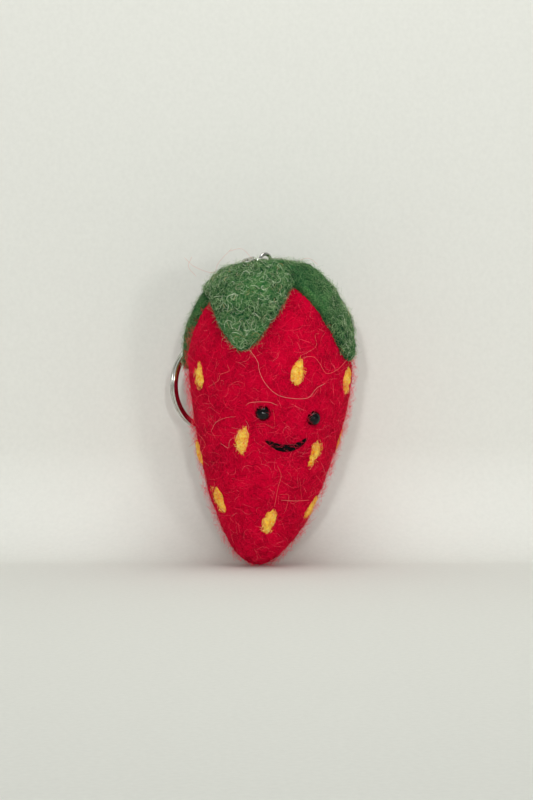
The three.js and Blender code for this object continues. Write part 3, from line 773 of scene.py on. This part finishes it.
# the split ring is one wire that goes round twice, with a step between the turns
RING_WIRE, RING_CORNER, RING_SIDES = (0.9, 1.5), 0.42, 24
RING_GAP, STEP_ANGLE = 0.15, 36.0
ring_joint = next(j for j in frame["joints"] if j["child"] == "split_ring")
hang = np.array(ring_joint["pos_m"]) / MM
axis = unit(np.array(ring_joint["axis"]))
low, high = (np.array(c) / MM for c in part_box("split_ring"))
down = np.array([0, 0, -1.0])
ring_radius = (high[2] - low[2]) / 2
centre = np.array([hang[0], hang[1], (low[2] + high[2]) / 2])
start = math.radians(STEP_ANGLE / 2 + 2)
turn = np.linspace(start, 4 * math.pi - start, 260)
half_step = math.radians(STEP_ANGLE / 2)
climb = np.clip((turn - 2 * math.pi + half_step) / (2 * half_step), 0, 1)
level = (climb * climb * (3 - 2 * climb) - 0.5) * (RING_WIRE[0] + RING_GAP)
across = np.cross(axis, down)
radial = np.cos(turn)[:, None] * down + np.sin(turn)[:, None] * across
path = centre + (ring_radius - RING_WIRE[1] / 2) * radial + level[:, None] * axis
rows = []
for k in range(RING_SIDES):
    a = 2 * math.pi * (k + 0.5) / RING_SIDES
    c, s = math.cos(a), math.sin(a)
    u = RING_WIRE[0] / 2 * np.sign(c) * abs(c) ** RING_CORNER
    v = RING_WIRE[1] / 2 * np.sign(s) * abs(s) ** RING_CORNER
    rows.append(path + u * axis + v * radial)
ring_points = np.concatenate([np.stack(rows, 1).reshape(-1, 3), path[:1], path[-1:]])
ring_faces = grid_faces(len(path), RING_SIDES, True)
count, last = len(ring_points), (len(path) - 1) * RING_SIDES
for s in range(RING_SIDES):
    n = (s + 1) % RING_SIDES
    ring_faces += [[n, s, count - 2], [last + s, last + n, count - 1]]
ring = piece("split_ring_wire", ring_points, ring_faces, steel, "steel_wire", body="split_ring")
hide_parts("split_ring")

EYELET, EYELET_WIRE, SHANK = 4.5, 1.0, 1.1
NECK, THREAD_PITCH, THREAD_HEIGHT, PLAIN_SHARE = 1.2, 0.9, 0.22, 0.12
low, high = (np.array(c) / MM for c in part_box("screw_eye"))
out = outward_at(CHAIN_AZIMUTH)
side = np.cross([0, 0, 1.0], out)
centre = np.array([SCREW_PLACE[0], SCREW_PLACE[1], high[2] - EYELET / 2])
bend = (EYELET - EYELET_WIRE) / 2
turn = np.linspace(math.radians(-66), math.radians(262), 60)
line = centre + bend * (np.cos(turn)[:, None] * side + np.sin(turn)[:, None] * np.array([0, 0, 1.0]))
neck_top = centre - np.array([0, 0, bend])
closing = [(line[-1] + neck_top) / 2, neck_top, neck_top]
line = np.concatenate([line, closing - np.outer((0.12, 0.4, 1.6), [0, 0, 1.0])])
loop = tube(line, EYELET_WIRE / 2, 16)
depth = neck_top[2] - NECK - low[2]
steps = np.linspace(0, 1, 220)
wave = np.maximum(np.sin(steps * depth / THREAD_PITCH * 2 * math.pi), -0.2)
thread = SHANK / 2 + THREAD_HEIGHT * wave * (steps > PLAIN_SHARE)
thread = thread * np.clip((1 - steps) * 9, 0.15, 1)
shank_radii = np.where(steps < PLAIN_SHARE, EYELET_WIRE / 2, thread)
shank = tube(neck_top - np.outer(NECK + steps * depth, [0, 0, 1.0]), shank_radii, 20)
eyelet = piece("screw_eye_wire", *joined([loop, shank]), steel, "steel_wire")
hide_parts("screw_eye")

# ---- CAD nodes that stay ----

core = nodes["wool_core"]
core.data.materials.clear()
core.data.materials.append(core_wool)

# ---- loose strands of wool ----


def loose_strand(azimuths, heights, offsets, steps=60):
    """A long strand that lies over the wool through the given places."""
    at = np.linspace(0, len(azimuths) - 1, steps)
    azimuths, heights, offsets = (catmull(np.array(v, float), at) for v in (azimuths, heights, offsets))
    return wool(azimuths, angle_at(heights), offsets)


def catmull(values, at):
    """Smooth curve through evenly spaced values."""
    padded = np.concatenate([[2 * values[0] - values[1]], values, [2 * values[-1] - values[-2]]])
    i = np.minimum(at.astype(int), len(values) - 2)
    t = at - i
    a, b, c, d = (padded[i + k] for k in range(4))
    return 0.5 * (2 * b + (c - a) * t + (2 * a - 5 * b + 4 * c - d) * t**2 + (3 * b - a - 3 * c + d) * t**3)


# azimuths, heights and distances off the wool of the long strands
STRAYS = [
    ([-30, -25, -24, -20, -13, -4, 9, 15, 23], [56.5, 53.5, 51, 48, 45.5, 44.5, 44.5, 47, 48],
     [3.2, 2.0, 1.2, 0.9, 0.8, 0.9, 1.0, 1.3, 0.6]),
    ([5, 12, 17, 23, 34, 44], [54.5, 54.5, 53, 50.5, 51.5, 54], [0.8, 1.4, 1.2, 1.0, 1.0, 1.6]),
    ([-65, -54, -52, -45, -47], [47, 48.7, 50.2, 51.2, 52.7], [0.4, 1.0, 0.9, 1.2, 0.5]),
    ([-8, -4, -5, -5], [27.2, 24.7, 21.5, 16.5], [0.5, 0.9, 0.7, 0.3]),
    ([1, 16, 38], [18.2, 18, 17.7], [0.5, 0.8, 0.3]),
    ([-98, -85, -75, -83, -76], [37, 35.5, 32.5, 29.2, 26.7], [1.6, 1.2, 0.8, 1.4, 0.5]),
    ([-34, -28, -18, -12], [42.6, 43.9, 43.6, 42.6], [0.5, 3.4, 1.5, 0.4]),
    ([100, 112, 128, 140], [46, 44, 45, 41], [0.4, 1.3, 0.9, 0.3]),
    ([160, 172, 186, 196], [30, 27, 28, 24], [0.4, 1.2, 1.0, 0.3]),
    ([74, 82, 90, 100], [24, 27, 26, 30], [0.4, 1.2, 1.0, 0.3]),
    ([-130, -120, -112, -100], [40, 37, 38, 34], [0.4, 1.2, 1.0, 0.3]),
]
# distances to the right of the middle, as the camera sees it, and heights of strands above the crown
FREE_STRAYS = [
    [(-19.5, 80.4), (-17.4, 78.3), (-13.8, 76.7), (-11.7, 76.7), (-10.6, 79.1), (-7.2, 82.8)],
    [(-16.5, 75.5), (-18.5, 78.0), (-17.6, 80.6)],
    [(-2.0, 80.2), (-4.6, 82.6), (-8.0, 82.0)],
    [(9.0, 79.0), (12.6, 80.2), (15.2, 78.6)],
]
STRAY_RADIUS, SHORT_STRAY_RADIUS, FREE_STRAY_RADIUS = 0.034, 0.021, 0.03
CHAIN_AZIMUTHS = (-175, -135)  # no short stray starts here, where the chain hangs
parts, tones = [], []
rng = np.random.default_rng(51)
for k, (azimuths, heights, offsets) in enumerate(STRAYS):
    line = loose_strand(azimuths, heights, offsets)
    strand_points, strand_faces = tube(line, STRAY_RADIUS, 5, capped=False)
    parts.append((strand_points, strand_faces))
    tones.append(np.full(len(strand_points), 0.25 + 0.5 * rng.random()))
for k in range(34):
    azimuth, height = rng.uniform(-180, 180), rng.uniform(8, 56)
    heading, wander = rng.uniform(0, 2 * math.pi), rng.normal(size=4) * 0.9
    azimuths, heights, offsets = [azimuth], [height], [0.2]
    for step in range(4):
        heading += wander[step]
        azimuths.append(azimuths[-1] + 2.2 * rng.uniform(2, 4) * math.cos(heading))
        heights.append(float(np.clip(heights[-1] + rng.uniform(1.2, 2.6) * math.sin(heading), 3, 60)))
        offsets.append(rng.uniform(0.4, 1.7))
    if CHAIN_AZIMUTHS[0] < azimuth < CHAIN_AZIMUTHS[1]:
        continue
    line = loose_strand(azimuths, heights, offsets, 36)
    strand_points, strand_faces = tube(line, SHORT_STRAY_RADIUS, 4, capped=False)
    parts.append((strand_points, strand_faces))
    tones.append(np.full(len(strand_points), rng.uniform(0.0, 0.85)))
view_right = outward_at(CAMERA_AZIMUTH + 90)
for through in FREE_STRAYS:
    across, heights = np.array(through).T
    at = np.linspace(0, len(heights) - 1, 40)
    line = catmull(across, at)[:, None] * view_right + np.outer(catmull(heights, at), [0, 0, 1.0])
    strand_points, strand_faces = tube(line, FREE_STRAY_RADIUS, 5, capped=False)
    parts.append((strand_points, strand_faces))
    tones.append(np.full(len(strand_points), 0.85))
stray_points, stray_faces = joined(parts)
tones = np.concatenate(tones)
uv = np.stack([tones, np.full(len(tones), 0.5)], 1)
piece("stray_wool_strands", stray_points, stray_faces, stray_strands, "red_wool", uv=uv)

# ---- floor and backdrop: one sweep of paper, seen only from its front ----

WALL_DISTANCE, SWEEP_RADIUS = 31.0, 30.0
PAPER_DROP = 0.05  # keeps the paper just clear of the tip
level_back, right = outward_at(CAMERA_AZIMUTH), outward_at(CAMERA_AZIMUTH + 90)
# distances behind the body's axis and heights, from the near edge of the floor to the top of the wall
profile = [(-2500.0, 0.0), (-600.0, 0.0), (-200.0, 0.0), (-60.0, 0.0)]
profile += [
    (WALL_DISTANCE - SWEEP_RADIUS * (1 - math.sin(t)), SWEEP_RADIUS * (1 - math.cos(t)))
    for t in np.linspace(0, math.pi / 2, 24)
]
profile += [(WALL_DISTANCE, 100.0), (WALL_DISTANCE, 400.0), (WALL_DISTANCE, 1600.0)]
columns = np.linspace(-2000, 2000, 9)
stage_points = np.array([
    -level_back * depth + right * x + np.array([0, 0, height]) for depth, height in profile for x in columns
])
stage_points[:, 2] -= PAPER_DROP
paper = Shader("paper")
grain = paper.noise(paper.coordinates(), 0.9, 4.0)
paper_colour = paper.ramp(grain, [(0.3, linear(214, 214, 207)), (0.7, linear(218, 218, 211))])
paper_material = paper.done(Base_Color=paper_colour, Roughness=0.95, Specular_IOR_Level=0.1)
front = paper.add("NewGeometry").outputs["Backfacing"]
clear = paper.add("BsdfTransparent").outputs[0]
output = paper.tree.nodes["Material Output"]
one_sided = paper.add("MixShader", {0: front, 1: paper.surface.outputs[0], 2: clear}).outputs[0]
paper.tree.links.new(one_sided, output.inputs["Surface"])
sweep_faces = grid_faces(len(profile), len(columns), False)
sweep = piece("paper_sweep", stage_points, sweep_faces, paper_material, body=None)
sweep.visible_shadow = False

# ---- light ----


LAMP_AIM = np.array([2.0, 0, 42.0])


def lamp(name, azimuth, elevation, distance, size, power):
    """An area light aimed at the middle of the body, at an azimuth from the camera's own."""
    tilt = math.radians(elevation)
    away = outward_at(CAMERA_AZIMUTH + azimuth) * math.cos(tilt) + np.array([0, 0, math.sin(tilt)])
    data = bpy.data.lights.new(name, "AREA")
    data.shape, data.size, data.energy = "DISK", size * MM, power
    obj = bpy.data.objects.new(name, data)
    bpy.context.scene.collection.objects.link(obj)
    obj.location = (LAMP_AIM + away * distance) * MM
    obj.rotation_mode = "QUATERNION"
    obj.rotation_quaternion = Vector(away).to_track_quat("Z", "Y")


lamp("left_key", -7, 10, 2200, 76, 10.0)
lamp("right_key", 6.5, 9, 2200, 76, 7.8)
lamp("right_fill", 25, 2, 1600, 200, 2.6)
lamp("top_soft", 10, 72, 520, 420, 1.45)
world = bpy.data.worlds.new("studio")
world.use_nodes = True
background = world.node_tree.nodes["Background"].inputs
background["Color"].default_value = (0.93, 0.98, 1.0, 1)
background["Strength"].default_value = 0.32
bpy.context.scene.world = world
bpy.context.scene.view_settings.view_transform = "Standard"

# ---- camera ----

back = level_back * math.cos(CAMERA_ELEVATION) + np.array([0, 0, math.sin(CAMERA_ELEVATION)])
up = np.cross(back, right)
CAMERA_DISTANCE, AIM_RIGHT, AIM_UP = 550.0, 1.83, 43.2
LENS, SENSOR = 94.5, 36.0
data = bpy.data.cameras.new("camera")
data.lens, data.sensor_width, data.clip_start, data.clip_end = LENS, SENSOR, 0.01, 10
camera = bpy.data.objects.new("camera", data)
bpy.context.scene.collection.objects.link(camera)
place = (right * AIM_RIGHT + up * AIM_UP + back * CAMERA_DISTANCE) * MM
camera.matrix_world = Matrix([
    (right[0], up[0], back[0], place[0]),
    (right[1], up[1], back[1], place[1]),
    (right[2], up[2], back[2], place[2]),
    (0, 0, 0, 1),
])
bpy.context.scene.camera = camera
